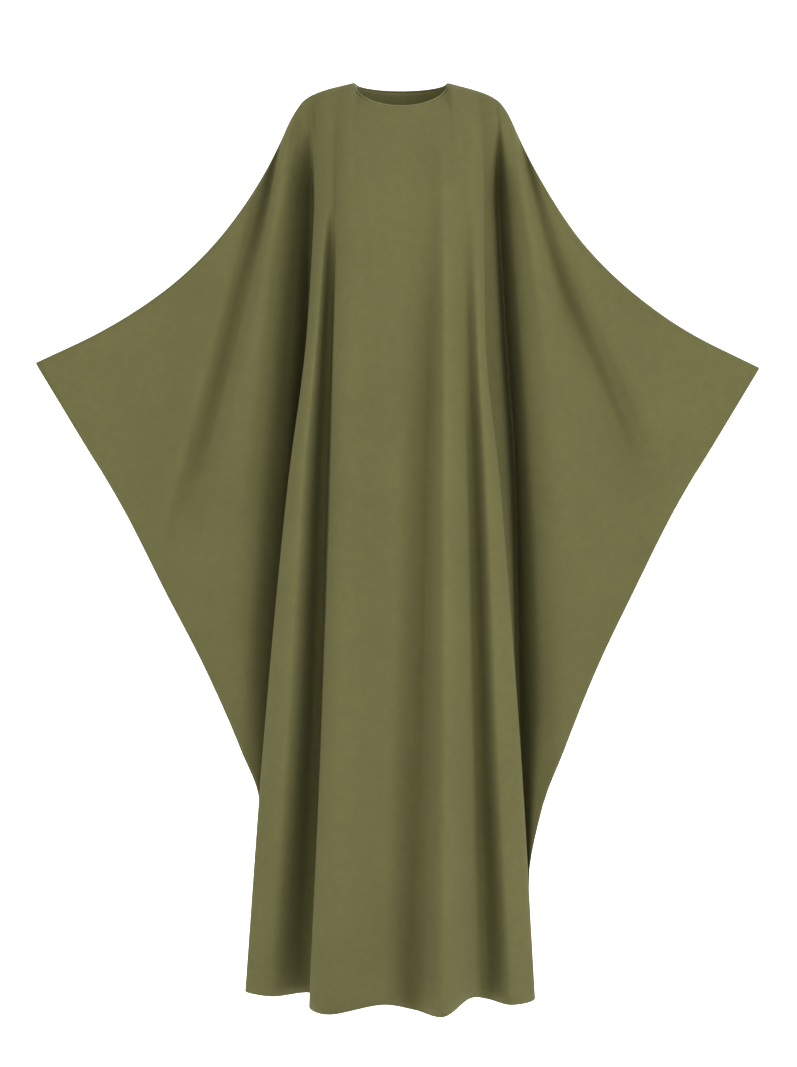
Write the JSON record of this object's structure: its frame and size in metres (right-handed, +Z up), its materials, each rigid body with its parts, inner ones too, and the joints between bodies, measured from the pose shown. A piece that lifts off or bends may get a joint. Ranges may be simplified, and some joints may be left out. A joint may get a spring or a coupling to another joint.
{
  "type": "abaya",
  "caption": "Floor-length plain olive abaya with wide butterfly sleeves and a round neck, hanging as worn and open inside.",
  "frame": {"origin": "middle of the neck opening, level with the high shoulder points, where the wearer's shoulders hold it up", "axes": "+X to the wearer's left along the shoulders, +Y to the back, +Z up, so the front faces -Y"},
  "size_m": [1.157, 0.221, 1.4693],
  "materials": {
    "cloth": "plain matte crepe, olive green",
    "edging": "the same cloth in a narrow folded edging, a little lighter where it turns"
  },
  "bodies": {
    "root": {"front": "cloth", "back": "cloth", "neck_binding": "edging"}
  },
  "joints": []
}
